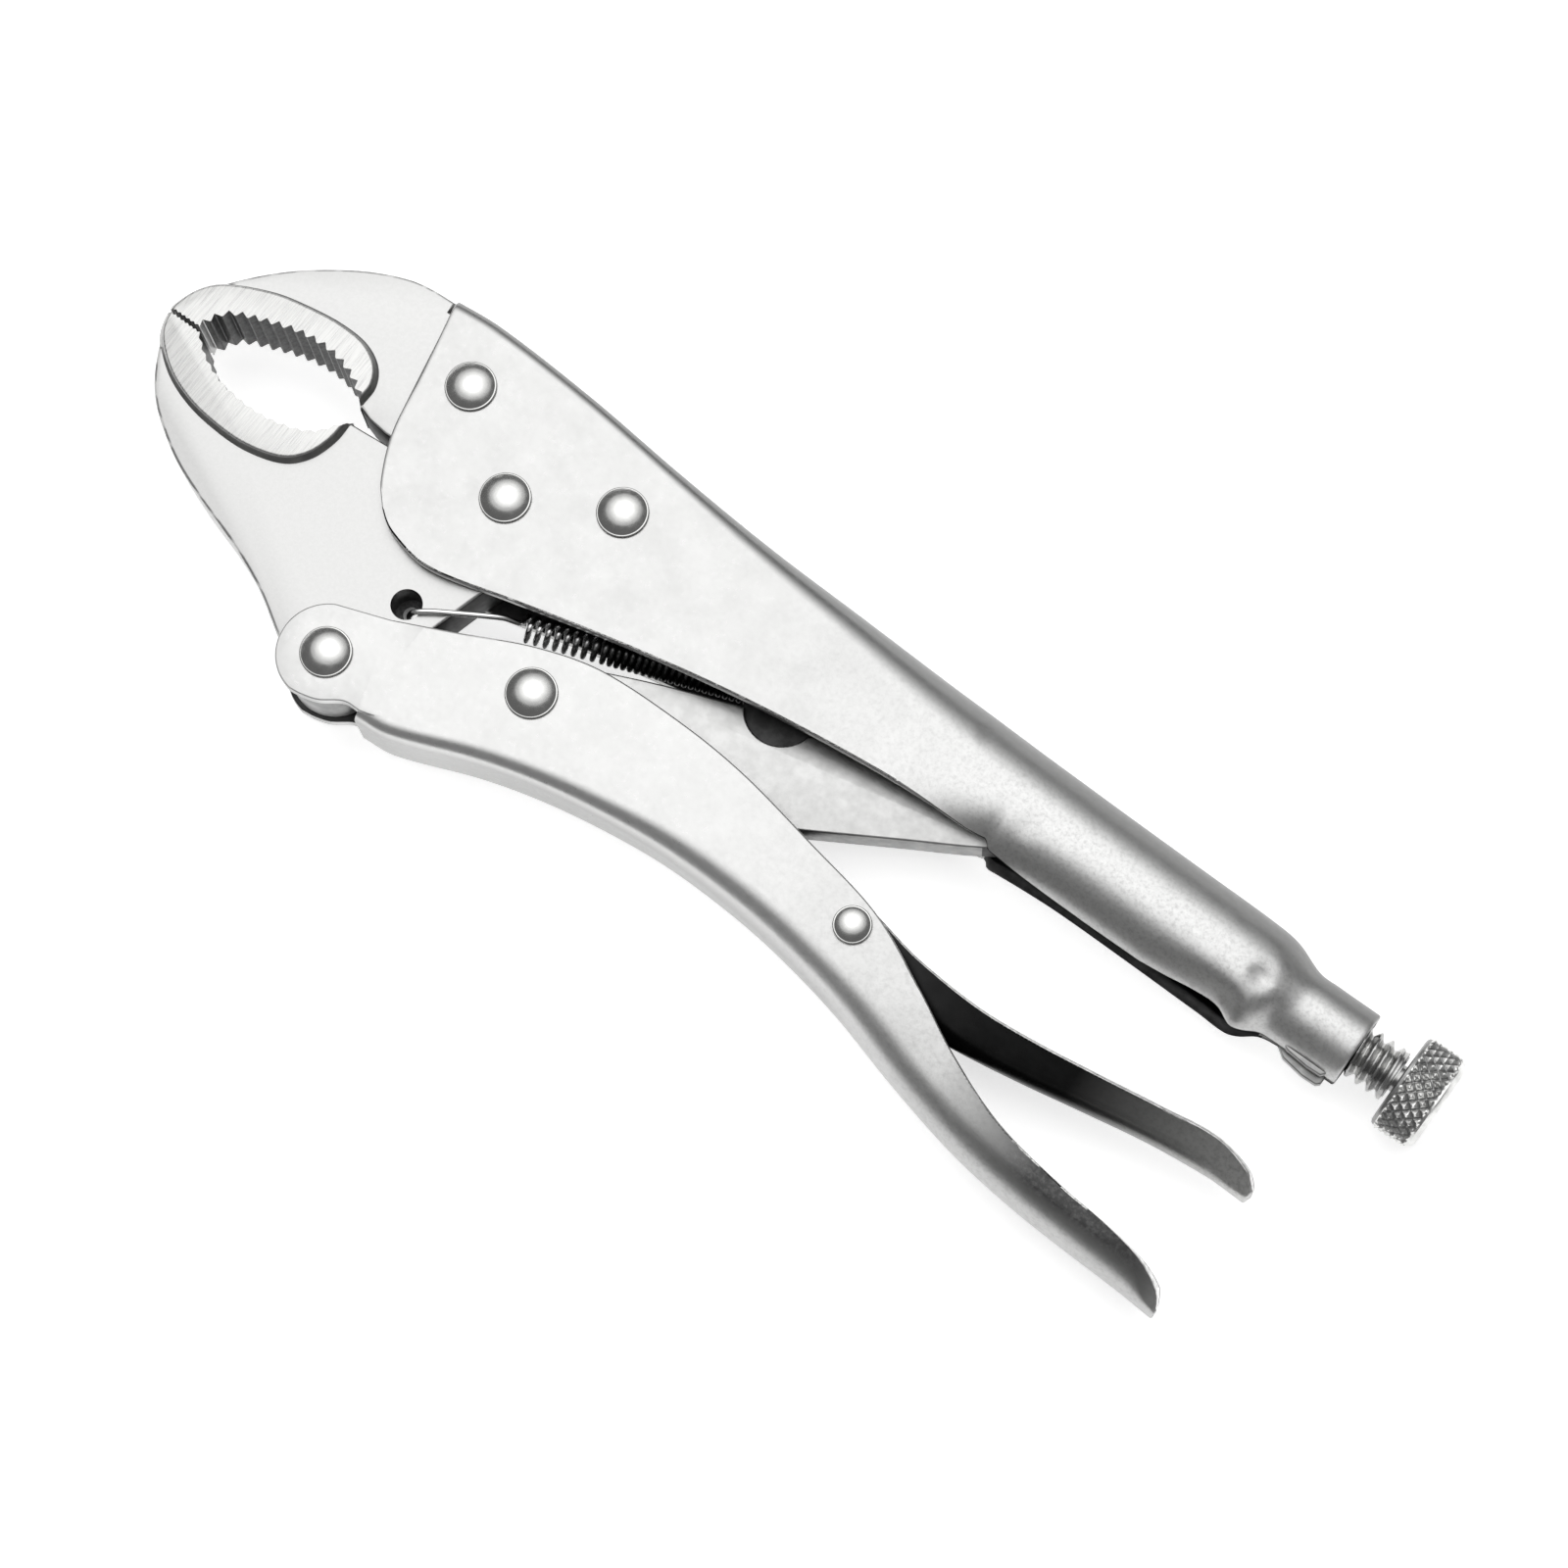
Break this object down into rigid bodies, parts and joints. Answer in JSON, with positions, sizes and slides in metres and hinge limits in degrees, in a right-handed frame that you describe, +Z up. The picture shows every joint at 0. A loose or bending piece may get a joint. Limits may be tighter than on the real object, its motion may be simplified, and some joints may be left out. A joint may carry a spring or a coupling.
{
  "type": "locking pliers",
  "caption": "Curved-jaw locking pliers with an adjusting screw, a toggle linkage and a release lever, jaws closed and locked, lying on their side.",
  "frame": {"origin": "centre of the base of the box that the locked tool fills as it lies on its side", "axes": "+X from the jaws to the adjusting knob along the screw, +Y from the lever to the back of the fixed handle, +Z up, along the rivets"},
  "size_m": [0.2484, 0.071, 0.0189],
  "materials": {
    "handle_steel": "satin nickel-plated pressed sheet steel with a fine grain",
    "lever_steel": "satin nickel-plated pressed sheet steel",
    "jaw_steel": "plated forging with ground grip faces",
    "link_steel": "satin plated plate steel",
    "release_steel": "darker plated sheet steel",
    "rivet_steel": "bright polished domed heads",
    "screw_steel": "dark cut thread",
    "knob_steel": "diamond knurl, dark in the cuts and bright on the points",
    "spring_steel": "bright spring wire",
    "pin_steel": "plain turned pin"
  },
  "bodies": {
    "handle": {"fixed_handle": "handle_steel", "fixed_jaw": "jaw_steel", "fixed_jaw_front_rivet": "rivet_steel", "fixed_jaw_rear_rivet": "rivet_steel", "jaw_pivot_rivet": "rivet_steel", "spring_anchor_pin": "pin_steel"},
    "jaw": {"movable_jaw": "jaw_steel", "lever_pivot_rivet": "rivet_steel", "return_spring": "spring_steel"},
    "lever": {"lever_handle": "lever_steel", "toggle_rivet": "rivet_steel", "release_rivet": "rivet_steel"},
    "link": {"toggle_link": "link_steel"},
    "release": {"release_lever": "release_steel"},
    "screw": {"adjusting_screw": "screw_steel"},
    "knob": {"knurled_knob": "knob_steel"}
  },
  "joints": [
    {"name": "jaw_pivot", "type": "hinge", "parent": "handle", "child": "jaw", "pos_m": [-0.0568, 0.01131, 0.00945], "axis": [0, 0, 1], "range_deg": [0, 18], "deforming": ["return_spring"]},
    {"name": "lever_pivot", "type": "hinge", "parent": "jaw", "child": "lever", "pos_m": [-0.0642, -0.02709, 0.00945], "axis": [0, 0, 1], "range_deg": [-59, 0]},
    {"name": "toggle_pivot", "type": "hinge", "parent": "lever", "child": "link", "pos_m": [-0.0326, -0.01279, 0.00945], "axis": [0, 0, 1], "range_deg": [0, 59]},
    {"name": "release_pivot", "type": "hinge", "parent": "lever", "child": "release", "pos_m": [0.0326, -0.01309, 0.00945], "axis": [0, 0, 1], "range_deg": [-8, 0]},
    {"name": "screw_travel", "type": "slide", "parent": "handle", "child": "screw", "axis": [1, 0, 0], "range_m": [0, 0.02399]},
    {"name": "knob_turn", "type": "hinge", "parent": "screw", "child": "knob", "pos_m": [0.1164, 0.01921, 0.00945], "axis": [1, 0, 0], "range_deg": [0, 4320]}
  ],
  "couplings": [
    {"joint": "lever_pivot", "follows": "jaw_pivot", "ratio": -3.25},
    {"joint": "toggle_pivot", "follows": "jaw_pivot", "ratio": 3.25},
    {"joint": "knob_turn", "follows": "screw_travel", "rad_per_m": 3141.6}
  ]
}
